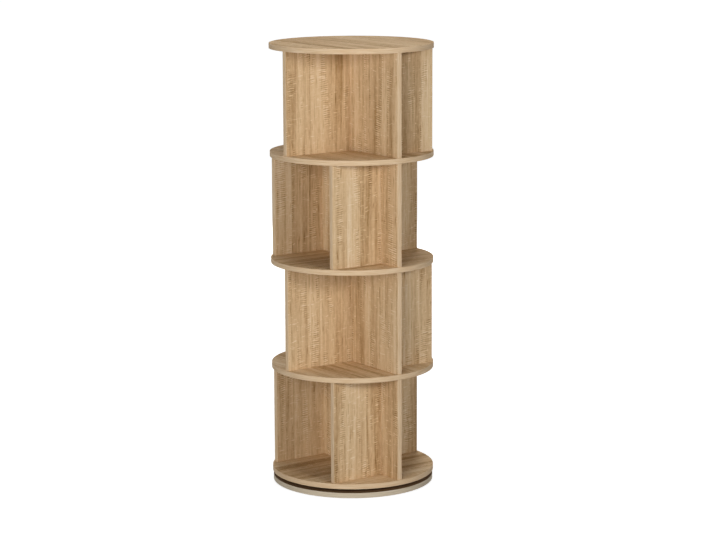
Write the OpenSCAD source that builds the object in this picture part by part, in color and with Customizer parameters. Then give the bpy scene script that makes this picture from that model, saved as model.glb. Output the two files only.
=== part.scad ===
// Revolving bookcase: four tiers of upright boards between five round boards,
// on a ball-bearing turntable that stands on a round base.
// All sizes are in millimetres. +Z is up, and the origin is on the floor, on the axis that the case turns
// about. The centre upright of each tier stands in the plane X = 0. Tiers are counted from the floor.

/* [Round boards] */
// Diameter of the top, the shelves and the bottom board, over their edge band
disc_d = 480; // [400:10:600]
// Thickness of the round boards
disc_t = 15; // [12:0.5:22]
// How far the base stops short of the boards above it, all round
base_inset = 2; // [0:0.5:20]

/* [Upright boards] */
// Thickness of the uprights
upright_t = 15; // [12:0.5:22]
// Clear height of a tier
clear_h = 300; // [220:5:380]
// How far the centre and radial uprights stop short of the rim
upright_inset = 5; // [2:0.5:15]
// Distance from the axis to the middle of a side upright
side_offset = 148; // [120:1:170]
// How far a side upright's outer corner stops short of the rim
side_inset = 3.5; // [2:0.5:15]

/* [Edge band] */
// Thickness of the edge band
band_t = 0.8; // [0.6:0.1:1.5]
// Size of the small bevel along the band's outer edges
band_ease = 0.4; // [0.1:0.1:0.5]

/* [Turntable] */
// Height of the gap that the turntable fills
gap_h = 12; // [10:0.5:16]
// Diameter of the two plates
plate_d = 300; // [270:5:340]
// Thickness of the plates' sheet steel
plate_t = 1.5; // [1:0.1:1.8]
// Diameter of the circle that the balls run on
race_d = 230; // [180:5:230]
// Diameter of a ball
ball_d = 6; // [5:0.2:7.2]
// Number of balls
balls = 30; // [12:1:40]
// Outer diameter of the hub's tube
hub_d = 24; // [16:1:32]
// Number of screws in each plate
plate_screws = 8; // [4:1:12]
// Diameter of the hole that a driver reaches the upper screws through
access_d = 16; // [12:0.5:18]

/* [Fittings] */
// Diameter of a cam lock
cam_d = 14.8; // [12:0.2:18]
// Distance from an upright's edge to the middle of its cam locks
cam_depth = 24; // [20:1:34]
// Distance from an upright's outer end to its cam lock
cam_from_end = 55; // [30:1:60]
// Distance from the axis to a cam lock of the centre upright
centre_cam = 100; // [70:1:105]
// Diameter of a dowel
dowel_d = 8; // [6:1:10]
// How far a dowel reaches into an upright
dowel_reach = 19; // [12:1:30]
// Distance from a dowel to the end of its upright
dowel_from_end = 35; // [20:1:45]

/* [Feet] */
// Diameter of a felt pad
pad_d = 30; // [20:1:45]
// Thickness of a felt pad
pad_h = 2; // [1:0.5:5]
// Number of felt pads
pads = 6; // [4:1:12]
// Distance from the base's rim to the middle of a pad
pad_inset = 48; // [30:1:60]

/* [Hidden] */
$fn = 96;
tiers = 4;

// Clearances
glue_line = 0.05; // between an edge band and its board
drill_clear = 0.1; // round a fitting in its drilled hole
screw_clear = 0.05; // round a screw or a dowel in its hole
running_clear = 0.08; // round the hub in the upper plate
race_clear = 0.1; // between a ball and the groove it runs in
pocket_clear = 0.15; // between a ball and its pocket in the cage
hub_play = 0.15; // between the hub's upper flange and the upper plate
over = 1; // how far a cut runs past the face it opens

// Levels
base_z = pad_h;
plates_z = base_z + disc_t;
bottom_z = plates_z + gap_h;
tier_pitch = clear_h + disc_t;
function level_z(level) = bottom_z + level * tier_pitch;
function tier_z(tier) = level_z(tier - 1) + disc_t;

// Round boards
disc_r = disc_d / 2;
base_r = disc_r - base_inset;

// Uprights: their outer ends over the edge band, and where the radial and side ones begin
upright_end = disc_r - upright_inset;
side_end = sqrt(pow(disc_r - side_inset, 2) - pow(side_offset + upright_t / 2, 2));
inner_end = upright_t / 2;

// The side uprights stand on +X in the even tiers and on -X in the odd ones, the radial one opposite them
function side_sign(tier) = tier % 2 == 0 ? 1 : -1;

// Fittings: places along an upright, from the axis outwards
centre_cams = [-centre_cam, centre_cam];
radial_cams = [upright_end - cam_from_end];
side_cams = [side_end - cam_from_end];
centre_dowels = [dowel_from_end - upright_end, upright_end - dowel_from_end];
radial_dowels = [inner_end + dowel_from_end];
side_dowels = [inner_end + dowel_from_end];
blind_skin = 4; // wood left behind a hole that stops inside a round board
blind_depth = disc_t - blind_skin;
blind_gap = 0.5; // between a fitting's end and the bottom of its hole
cam_skin = 2.5; // wood left behind a cam lock's pocket
cam_sink = 0.5; // how far a cam lock's face lies below the upright's face
cam_l = upright_t - cam_skin - cam_sink;
cam_wall = 1.6;
cam_play = 0.4; // across the bolt's head and neck inside a cam lock
cross_l = 8;
cross_w = 1.4;
cross_h = 1.6;
cap_lap = 1.1; // how far a cover cap laps over the cam lock's rim
cap_d = cam_d + 2 * cap_lap;
cap_t = 1;
cap_ease = 0.5;
cap_peg_d = 3.6;
cap_peg_l = 2;
bolt_sleeve_d = 7.8;
bolt_sleeve_l = 13;
bolt_neck_d = 4;
bolt_head_d = 6.4;
bolt_head_h = 4.4;
bolt_head_ease = 1;
bolt_thread_d = 5;
bolt_tip = 2;
bolt_shaft_d = 7;
dowel_ease = 1;
dowel_hole_d = dowel_d + 2 * screw_clear;

// Turntable, with heights measured from the face that a plate is screwed to
mid_h = gap_h / 2;
race_r = race_d / 2;
ball_r = ball_d / 2;
groove_r = ball_r + race_clear;
groove_h = mid_h - groove_r;
groove_depth = 1.3;
crest_h = groove_h + groove_depth;
crest_half = ball_r + 1.5; // half the width of the bead's flat top
bead_slope = 2;
bend = 1; // how far the underside of a bend lies inside its upper side
hub_r = hub_d / 2;
hub_wall = 3;
hub_flange_r = hub_r + 6;
hub_flange_t = 1.5;
middle_gap = 0.6; // between the two plates' dished middles
hub_top_h = mid_h - middle_gap / 2;
dish_r = hub_flange_r + 6;
dish_slope = 10;
cage_t = 1.6;
cage_rim = 4; // cage left on each side of a ball
cage_half = ball_r + cage_rim;
screw_from_rim = 10;
screw_circle_r = plate_d / 2 - screw_from_rim;
screw_d = 3.8;
screw_l = 12;
screw_tip = 3;
screw_head_d = 7.6;
screw_head_h = 2.2;
screw_head_ease = 0.8;
screw_recess_l = 4;
screw_recess_w = 0.7;
screw_recess_h = 1.1;
pilot_l = screw_l - plate_t + over; // depth of a plate screw's hole in a board

// Colours
oak = "#c8a57e";
band_oak = "#d6b792";
steel = "#a9abae";
bright_steel = "#c9ccd0";
zinc = "#9d9c98";
nylon = "#e4dfcf";
beech = "#d9b98a";
felt = "#5a4a3c";

// Places

// Turns a shape drawn along +X to the -X side when sign is negative. The +Y face stays the +Y face.
module to_side(sign) {
    if (sign > 0) children();
    else mirror([1, 0, 0]) children();
}

// Puts a shape on an upright's lower edge, or upside down on its upper edge: +Z points into the upright
module at_edge(tier, top) {
    if (top) translate([0, 0, tier_z(tier) + clear_h]) mirror([0, 0, 1]) children();
    else translate([0, 0, tier_z(tier)]) children();
}

// Puts a shape at the given distances along each kind of upright, with +Y out of its drilled face
module along_uprights(tier, centre, radial, side) {
    rotate([0, 0, -90]) for (u = centre) translate([u, 0, 0]) children();
    to_side(-side_sign(tier)) for (u = radial) translate([u, 0, 0]) children();
    for (y = [-side_offset, side_offset], u = side)
        translate([0, y, 0]) to_side(side_sign(tier)) translate([u, 0, 0]) children();
}

// The lower edge of a tier's uprights stands on level tier - 1, and the upper edge carries level tier
module at_outer_cams(tier, top)
    at_edge(tier, top) along_uprights(tier, [], radial_cams, side_cams) children();

module at_centre_cams(tier, top)
    at_edge(tier, top) along_uprights(tier, centre_cams, [], []) children();

module at_outer_dowels(tier, top)
    at_edge(tier, top) along_uprights(tier, [], radial_dowels, side_dowels) children();

module at_centre_dowels(tier, top)
    at_edge(tier, top) along_uprights(tier, centre_dowels, [], []) children();

module ring_of(count, radius, turn = 0)
    for (i = [0:count - 1]) rotate([0, 0, turn + i * 360 / count]) translate([radius, 0, 0]) children();

// Holes, with z = 0 on the face that an upright meets and +Z into the upright
module blind_hole(diameter) translate([0, 0, -blind_depth]) cylinder(d = diameter, h = blind_depth + over);
module through_hole(diameter)
    translate([0, 0, -disc_t - over]) cylinder(d = diameter, h = disc_t + 2 * over);
module bolt_thread_hole() blind_hole(bolt_thread_d + 2 * screw_clear);
module bolt_shaft_hole() through_hole(bolt_shaft_d + 2 * drill_clear);
module dowel_socket() blind_hole(dowel_hole_d);
module dowel_through() through_hole(dowel_hole_d);
module dowel_bore() translate([0, 0, -over]) cylinder(d = dowel_hole_d, h = dowel_reach + 2 * over);
module cam_bore() {
    translate([0, 0, -over]) cylinder(d = bolt_sleeve_d + 2 * drill_clear, h = cam_depth + over);
    translate([0, upright_t / 2 + over, cam_depth]) rotate([90, 0, 0])
        cylinder(d = cam_d + 2 * drill_clear, h = upright_t - cam_skin + over);
}

// Round boards

// Drillings of the round board at a level: fittings of the tier above in its upper face and of the tier
// below in its lower face. The centre uprights' fittings go right through where both faces carry a tier.
module board_holes(level) {
    above = level + 1;
    inner = level > 0 && level < tiers;
    if (level < tiers) {
        at_outer_cams(above, false) bolt_thread_hole();
        at_outer_dowels(above, false) dowel_socket();
    }
    if (level > 0) {
        at_outer_cams(level, true) bolt_thread_hole();
        at_outer_dowels(level, true) dowel_socket();
    }
    if (inner) {
        at_centre_cams(above, false) bolt_shaft_hole();
        at_centre_dowels(above, false) dowel_through();
    } else {
        tier = level == 0 ? 1 : tiers;
        at_centre_cams(tier, level > 0) bolt_thread_hole();
        at_centre_dowels(tier, level > 0) dowel_socket();
    }
}

module round_board(level) {
    color(oak) difference() {
        translate([0, 0, level_z(level)]) cylinder(r = disc_r - band_t - glue_line, h = disc_t);
        board_holes(level);
        if (level == 0) translate([0, 0, level_z(0)]) ring_of(plate_screws, screw_circle_r)
            translate([0, 0, -over]) cylinder(d = screw_d + 2 * screw_clear, h = pilot_l + over);
    }
}

module ring_band(radius, z) {
    inner = radius - band_t;
    color(band_oak) translate([0, 0, z]) rotate_extrude() polygon([
        [inner, 0], [radius - band_ease, 0], [radius, band_ease],
        [radius, disc_t - band_ease], [radius - band_ease, disc_t], [inner, disc_t]
    ]);
}

module bottom_board() round_board(0);
module lower_shelf() round_board(1);
module middle_shelf() round_board(2);
module upper_shelf() round_board(3);
module top_board() round_board(4);
module bottom_board_edge_band() ring_band(disc_r, level_z(0));
module lower_shelf_edge_band() ring_band(disc_r, level_z(1));
module middle_shelf_edge_band() ring_band(disc_r, level_z(2));
module upper_shelf_edge_band() ring_band(disc_r, level_z(3));
module top_board_edge_band() ring_band(disc_r, level_z(4));

// Base

module base_board() {
    color(oak) difference() {
        translate([0, 0, base_z]) cylinder(r = base_r - band_t - glue_line, h = disc_t);
        translate([0, 0, base_z + disc_t]) ring_of(plate_screws, screw_circle_r, 180 / plate_screws)
            translate([0, 0, -pilot_l]) cylinder(d = screw_d + 2 * screw_clear, h = pilot_l + over);
        translate([screw_circle_r, 0, base_z - over]) cylinder(d = access_d, h = disc_t + 2 * over);
    }
}

module base_edge_band() ring_band(base_r, base_z);

module felt_pads() color(felt) ring_of(pads, base_r - pad_inset) cylinder(d = pad_d, h = pad_h);

// Uprights

// An upright's board, drawn along +X from its inner end to its outer end without the edge band
module upright_core(inner, end)
    translate([inner, -upright_t / 2, 0]) cube([end - band_t - glue_line - inner, upright_t, clear_h]);

// Edge band on an upright's outer end, with its two long edges bevelled
module upright_band(end) {
    half = upright_t / 2;
    color(band_oak) linear_extrude(clear_h) polygon([
        [end - band_t, -half], [end - band_ease, -half], [end, band_ease - half],
        [end, half - band_ease], [end - band_ease, half], [end - band_t, half]
    ]);
}

// Drills both edges of an upright at the given places along it
module upright_holes(cams, dowels) {
    for (top = [false, true]) translate([0, 0, top ? clear_h : 0]) mirror([0, 0, top ? 1 : 0]) {
        for (u = cams) translate([u, 0, 0]) cam_bore();
        for (u = dowels) translate([u, 0, 0]) dowel_bore();
    }
}

module centre_upright(tier) {
    color(oak) translate([0, 0, tier_z(tier)]) rotate([0, 0, -90]) difference() {
        union() {
            upright_core(0, upright_end);
            mirror([1, 0, 0]) upright_core(0, upright_end);
        }
        upright_holes(centre_cams, centre_dowels);
    }
}

module radial_upright(tier) {
    color(oak) translate([0, 0, tier_z(tier)]) to_side(-side_sign(tier)) difference() {
        upright_core(inner_end, upright_end);
        upright_holes(radial_cams, radial_dowels);
    }
}

// hand is 1 for the side upright on +Y and -1 for the one on -Y
module side_upright(tier, hand) {
    color(oak) translate([0, hand * side_offset, tier_z(tier)]) to_side(side_sign(tier)) difference() {
        upright_core(inner_end, side_end);
        upright_holes(side_cams, side_dowels);
    }
}

module centre_upright_edge_bands() {
    for (tier = [1:tiers]) translate([0, 0, tier_z(tier)]) {
        rotate([0, 0, 90]) upright_band(upright_end);
        rotate([0, 0, -90]) upright_band(upright_end);
    }
}

module radial_upright_edge_bands()
    for (tier = [1:tiers]) translate([0, 0, tier_z(tier)])
        to_side(-side_sign(tier)) upright_band(upright_end);

module side_upright_edge_bands()
    for (tier = [1:tiers], hand = [-1, 1]) translate([0, hand * side_offset, tier_z(tier)])
        to_side(side_sign(tier)) upright_band(side_end);

// Fittings of the case

// The part of a bolt above the board: a sleeve, a neck and the head that the cam lock pulls on
module bolt_end() {
    head_z = cam_depth - bolt_head_h / 2;
    rotate_extrude() polygon([
        [0, 0], [bolt_sleeve_d / 2, 0], [bolt_sleeve_d / 2, bolt_sleeve_l],
        [bolt_neck_d / 2, bolt_sleeve_l], [bolt_neck_d / 2, head_z],
        [bolt_head_d / 2, head_z + bolt_head_ease],
        [bolt_head_d / 2, head_z + bolt_head_h - bolt_head_ease],
        [bolt_neck_d / 2, head_z + bolt_head_h], [0, head_z + bolt_head_h]
    ]);
}

module short_cam_bolt() {
    bolt_end();
    thread_l = blind_depth - blind_gap;
    translate([0, 0, bolt_tip - thread_l]) cylinder(d = bolt_thread_d, h = thread_l - bolt_tip);
    translate([0, 0, -thread_l]) cylinder(d1 = bolt_thread_d / 2, d2 = bolt_thread_d, h = bolt_tip);
}

module long_cam_bolt() {
    bolt_end();
    translate([0, 0, -disc_t]) cylinder(d = bolt_shaft_d, h = disc_t);
    translate([0, 0, -disc_t]) mirror([0, 0, 1]) bolt_end();
}

// A cam lock in its pocket, open towards the bolt that comes from below, with a cross recess in its face
module cam_lock() {
    bolt_y = upright_t / 2 - cam_sink; // distance from the cam lock's face to the bolt's axis
    head_w = bolt_head_d + cam_play;
    neck_w = bolt_neck_d + cam_play;
    cut_l = cam_d / 2 + over; // from the middle out past the cam lock's side
    translate([0, bolt_y, cam_depth]) rotate([90, 0, 0]) difference() {
        cylinder(d = cam_d, h = cam_l);
        translate([0, 0, bolt_y - head_w / 2]) cylinder(r = cam_d / 2 - cam_wall, h = head_w);
        translate([-neck_w / 2, -cut_l, bolt_y - neck_w / 2]) cube([neck_w, cut_l, neck_w]);
        translate([0, -head_w / 2, bolt_y - head_w / 2]) cube([cut_l, head_w, head_w]);
        translate([0, 0, -over]) cylinder(d = cap_peg_d + 2 * drill_clear, h = cap_peg_l + over);
        for (turn = [45, 135]) rotate([0, 0, turn])
            translate([-cross_l / 2, -cross_w / 2, -over]) cube([cross_l, cross_w, cross_h + over]);
    }
}

module cam_cover_cap() {
    translate([0, upright_t / 2, cam_depth]) rotate([-90, 0, 0]) {
        cylinder(d1 = cap_d, d2 = cap_d - 2 * cap_ease, h = cap_t);
        translate([0, 0, -cap_peg_l]) cylinder(d = cap_peg_d, h = cap_peg_l);
    }
}

// A dowel with bevelled ends that reaches down and up from z = 0
module dowel(down, up) {
    r = dowel_d / 2;
    rotate_extrude() polygon([
        [0, -down], [r - dowel_ease, -down], [r, dowel_ease - down],
        [r, up - dowel_ease], [r - dowel_ease, up], [0, up]
    ]);
}

module cam_locks() color(zinc) for (tier = [1:tiers], top = [false, true]) {
    at_centre_cams(tier, top) cam_lock();
    at_outer_cams(tier, top) cam_lock();
}

module cam_cover_caps() color(band_oak) for (tier = [1:tiers], top = [false, true]) {
    at_centre_cams(tier, top) cam_cover_cap();
    at_outer_cams(tier, top) cam_cover_cap();
}

module short_cam_bolts() color(bright_steel) {
    for (tier = [1:tiers], top = [false, true]) at_outer_cams(tier, top) short_cam_bolt();
    at_centre_cams(1, false) short_cam_bolt();
    at_centre_cams(tiers, true) short_cam_bolt();
}

module long_cam_bolts() color(bright_steel)
    for (tier = [2:tiers]) at_centre_cams(tier, false) long_cam_bolt();

module short_dowels() color(beech) {
    depth = blind_depth - blind_gap;
    for (tier = [1:tiers], top = [false, true]) at_outer_dowels(tier, top) dowel(depth, dowel_reach);
    at_centre_dowels(1, false) dowel(depth, dowel_reach);
    at_centre_dowels(tiers, true) dowel(depth, dowel_reach);
}

module long_dowels() color(beech) for (tier = [2:tiers])
    at_centre_dowels(tier, false) dowel(disc_t + dowel_reach, dowel_reach);

// Turntable

// Half section of a pressed plate that lies on z = 0: a dished middle round the hub, a flat, a bead with
// the ball groove in it, and the flange that the screws go through
module plate_section(bore_r) {
    foot_half = crest_half + bead_slope;
    difference() {
        polygon([
            [bore_r, hub_top_h - plate_t], [dish_r - bend, hub_top_h - plate_t],
            [dish_r - bend + dish_slope, 0],
            [race_r - foot_half + bend, 0], [race_r - crest_half + bend, groove_h - plate_t],
            [race_r + crest_half - bend, groove_h - plate_t], [race_r + foot_half - bend, 0],
            [plate_d / 2, 0], [plate_d / 2, plate_t],
            [race_r + foot_half, plate_t], [race_r + crest_half, crest_h],
            [race_r - crest_half, crest_h], [race_r - foot_half, plate_t],
            [dish_r + dish_slope, plate_t], [dish_r, hub_top_h], [bore_r, hub_top_h]
        ]);
        translate([race_r, mid_h]) circle(r = groove_r);
    }
}

module plate_screw_holes(turn) ring_of(plate_screws, screw_circle_r, turn)
    translate([0, 0, -over]) cylinder(d = screw_d + 2 * drill_clear, h = plate_t + 2 * over);

module turntable_lower_plate() {
    color(steel) translate([0, 0, plates_z]) difference() {
        rotate_extrude() plate_section(hub_r + screw_clear);
        plate_screw_holes(180 / plate_screws);
        translate([screw_circle_r, 0, -over]) cylinder(d = access_d, h = plate_t + 2 * over);
    }
}

module turntable_upper_plate() {
    color(steel) translate([0, 0, bottom_z]) mirror([0, 0, 1]) difference() {
        rotate_extrude() plate_section(hub_r + running_clear);
        plate_screw_holes(0);
    }
}

// A hollow rivet with a flange below the lower plate and one above the upper plate
module turntable_hub() {
    low = hub_top_h - plate_t;
    high = gap_h - low + hub_play;
    color(bright_steel) translate([0, 0, plates_z]) rotate_extrude() polygon([
        [hub_r - hub_wall, low - hub_flange_t], [hub_flange_r, low - hub_flange_t], [hub_flange_r, low],
        [hub_r, low], [hub_r, high], [hub_flange_r, high],
        [hub_flange_r, high + hub_flange_t], [hub_r - hub_wall, high + hub_flange_t]
    ]);
}

module ball_cage() {
    color(nylon) translate([0, 0, plates_z + mid_h - cage_t / 2]) difference() {
        cylinder(r = race_r + cage_half, h = cage_t);
        translate([0, 0, -over]) cylinder(r = race_r - cage_half, h = cage_t + 2 * over);
        ring_of(balls, race_r) translate([0, 0, -over])
            cylinder(r = ball_r + pocket_clear, h = cage_t + 2 * over);
    }
}

module bearing_balls() color(bright_steel)
    translate([0, 0, plates_z + mid_h]) ring_of(balls, race_r) sphere(r = ball_r);

// A pan-head wood screw with its head on z = 0 and its point downwards
module plate_screw() {
    point_d = screw_d / 8;
    difference() {
        rotate_extrude() polygon([
            [0, -screw_l], [point_d / 2, -screw_l], [screw_d / 2, screw_tip - screw_l], [screw_d / 2, 0],
            [screw_head_d / 2, 0], [screw_head_d / 2, screw_head_h - screw_head_ease],
            [screw_head_d / 2 - screw_head_ease, screw_head_h], [0, screw_head_h]
        ]);
        for (turn = [0, 90]) rotate([0, 0, turn])
            translate([-screw_recess_l / 2, -screw_recess_w / 2, screw_head_h - screw_recess_h])
                cube([screw_recess_l, screw_recess_w, screw_recess_h + over]);
    }
}

module lower_plate_screws() color(bright_steel) translate([0, 0, plates_z + plate_t])
    ring_of(plate_screws, screw_circle_r, 180 / plate_screws) plate_screw();

module upper_plate_screws() color(bright_steel) translate([0, 0, bottom_z - plate_t])
    ring_of(plate_screws, screw_circle_r) mirror([0, 0, 1]) plate_screw();

base_board();
base_edge_band();
felt_pads();
turntable_lower_plate();
turntable_hub();
lower_plate_screws();
ball_cage();
bearing_balls();
turntable_upper_plate();
upper_plate_screws();
bottom_board();
lower_shelf();
middle_shelf();
upper_shelf();
top_board();
bottom_board_edge_band();
lower_shelf_edge_band();
middle_shelf_edge_band();
upper_shelf_edge_band();
top_board_edge_band();
for (tier = [1:tiers]) {
    centre_upright(tier);
    radial_upright(tier);
    side_upright(tier, 1);
    side_upright(tier, -1);
}
centre_upright_edge_bands();
radial_upright_edge_bands();
side_upright_edge_bands();
cam_locks();
cam_cover_caps();
short_cam_bolts();
long_cam_bolts();
short_dowels();
long_dowels();
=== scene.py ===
import math
import bmesh
import bpy
from mathutils import Matrix, Vector


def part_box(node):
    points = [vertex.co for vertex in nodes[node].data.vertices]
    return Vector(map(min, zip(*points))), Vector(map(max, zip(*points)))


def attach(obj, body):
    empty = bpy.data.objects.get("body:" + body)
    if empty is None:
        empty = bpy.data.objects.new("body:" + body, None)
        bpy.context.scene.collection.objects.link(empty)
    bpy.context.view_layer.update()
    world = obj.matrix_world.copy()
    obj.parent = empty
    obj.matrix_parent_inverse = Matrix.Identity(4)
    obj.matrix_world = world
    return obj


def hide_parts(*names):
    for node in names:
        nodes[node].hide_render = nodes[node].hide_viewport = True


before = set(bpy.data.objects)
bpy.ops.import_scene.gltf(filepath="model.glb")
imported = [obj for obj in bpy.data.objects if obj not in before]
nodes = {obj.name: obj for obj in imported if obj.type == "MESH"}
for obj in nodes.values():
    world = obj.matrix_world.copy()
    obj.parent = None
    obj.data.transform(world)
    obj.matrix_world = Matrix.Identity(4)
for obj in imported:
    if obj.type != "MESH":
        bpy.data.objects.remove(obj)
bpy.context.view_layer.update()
print("frame loaded with", len(nodes), "nodes")


# Helpers
def addObject(name, data):
    item = bpy.data.objects.new(name, data)
    bpy.context.scene.collection.objects.link(item)
    return item


# Camera: the photograph's viewing angle, fitted to the edges of the round boards and the uprights
photoView = {  # angles in degrees, lengths in metres
    "azimuth": -35.42,  # round from -Y, minus towards -X
    "distance": 6.552,  # from the turning axis
    "height": 1.836,
    "pitchDown": 10.416,
    "yawRight": 0.150,
    "roll": -0.219,
    "focalPixels": 2254.3,
    "imageWidth": 716,
    "sensorWidth": 36.0,  # mm
    "reach": 60,
}


def makeCamera(view):
    azimuth = math.radians(view["azimuth"])
    back = Vector((math.sin(azimuth), -math.cos(azimuth), 0))
    up = Vector((0, 0, 1))
    right = (-back).cross(up)
    yaw = math.radians(view["yawRight"])
    level = -back * math.cos(yaw) + right * math.sin(yaw)
    right = level.cross(up)
    pitch = math.radians(view["pitchDown"])
    forward = level * math.cos(pitch) - up * math.sin(pitch)
    upright = right.cross(forward)
    roll = math.radians(view["roll"])
    cameraX = right * math.cos(roll) + upright * math.sin(roll)
    cameraY = upright * math.cos(roll) - right * math.sin(roll)
    data = bpy.data.cameras.new("photo camera")
    data.sensor_width = view["sensorWidth"]
    data.lens = view["focalPixels"] * view["sensorWidth"] / view["imageWidth"]
    data.clip_end = view["reach"]
    camera = addObject("photo camera", data)
    camera.matrix_world = Matrix((cameraX, cameraY, -forward)).transposed().to_4x4()
    camera.location = back * view["distance"] + up * view["height"]
    bpy.context.scene.camera = camera


makeCamera(photoView)
bpy.context.scene.view_settings.view_transform = "Standard"
print("camera placed")


def linear(hexColour):
    # an sRGB hex value as the linear colour that a socket takes
    parts = [int(hexColour[i:i + 2], 16) / 255 for i in (1, 3, 5)]
    return [c / 12.92 if c <= 0.04045 else ((c + 0.055) / 1.055) ** 2.4 for c in parts] + [1]


def addNode(tree, kind, settings={}, links={}):
    # one node with its settings; each input gets a value, a socket or a node whose first output feeds it
    node = tree.nodes.new(kind)
    for name, value in settings.items():
        setattr(node, name, value)
    for name, value in links.items():
        if isinstance(value, bpy.types.Node):
            value = value.outputs[0]
        if isinstance(value, bpy.types.NodeSocket):
            tree.links.new(value, node.inputs[name])
        else:
            node.inputs[name].default_value = value
    return node


# settings that many nodes share
multiply = {"operation": "MULTIPLY"}
multiplyAdd = {"operation": "MULTIPLY_ADD"}
smoothStep = {"interpolation_type": "SMOOTHSTEP"}


def fillRamp(node, stops):
    # sets a colour ramp to (place, hex colour) pairs
    ramp = node.color_ramp
    while len(ramp.elements) > 1:
        ramp.elements.remove(ramp.elements[-1])
    for i, (place, colour) in enumerate(stops):
        element = ramp.elements[0] if i == 0 else ramp.elements.new(place)
        element.position = place
        element.color = linear(colour)


def startMaterial(name):
    material = bpy.data.materials.new(name)
    material.use_nodes = True
    material.node_tree.nodes.clear()
    return material, material.node_tree


# Sawn-oak print: the printed paper under the melamine, as a node group
# It shows glued staves of pale oak with soft brown streaks, short pores and ladders of saw marks.
oakPrint = {
    "drift": 5,  # mm that the grain wanders sideways
    "driftCells": (60, 260),  # mm across and along, from one bend to the next
    "staveWidth": 40,  # mm
    "staveUneven": (0.6, 1.7),  # how quickly the widths vary from stave to stave, and how much
    "staveShare": 0.13,  # how far apart the tones of two staves may lie
    "staveApart": (3000.0, 900.0),  # mm along and into the wood that two staves' figures may lie apart
    "faceShift": 53.0,  # sets the figure of one face apart from the other's
    "fibreRoughness": 0.55,
    "grain": {  # mm across, mm along, detail, share of the tone; the last one is pressed into the film too
        "bands": (26, 700, 1.0, 0.43),
        "streaks": (6.5, 210, 1.5, 0.31),
        "mottle": (6.0, 22, 1.5, 0.16),
        "fibres": (1.2, 45, 2.0, 0.13),
    },
    "masks": {  # mm across, mm along, and the noise values between which the mark fades in
        "ladders": (30, 150, 0.56, 0.66),
        "slits": (5.0, 60, 0.64, 0.74),
        "pores": (0.5, 8, 0.58, 0.72),
    },
    "sawPitch": 6.2,  # mm from one saw mark to the next
    "sawSlant": 0.1,
    "sawWobble": 6,  # mm
    "wobbleCells": (28, 30, 0.1),  # mm across, mm along, and cells in each mm into the wood
    "sawRange": (-0.2, 1.0),  # the values of the wave between which a rung fades in
    "sawTones": (-0.3, 0.7),  # wood between two marks is a little darker, and the mark is paler
    "marks": {  # as for the wobble, then detail, and the noise values between which the mark fades in
        "kerfs": (30, 2.4, 0.1, 1.0, 0.48, 0.68),
        "flecks": (20, 3.2, 0.07, 0.0, 0.71, 0.80),
    },
    "sawShare": 0.17,
    "kerfShare": 0.16,
    "looseKerfs": 0.12,  # share of the kerfs that shows outside the ladders
    "fleckShare": 0.17,
    "slitShare": 0.12,
    "poreShare": 0.09,
    "sawRelief": 2.0,  # height of the saw marks beside that of the fibres
    "roughness": (0.72, 0.6),  # in the dark tones and in the pale ones
    "roughnessTones": (0.3, 0.7),
    "tones": [
        (0.20, "#80623f"), (0.34, "#aa895f"), (0.45, "#c5a57e"),
        (0.55, "#d6b991"), (0.66, "#e0c7a4"), (0.85, "#ecd9bc"),
    ],
}


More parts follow.
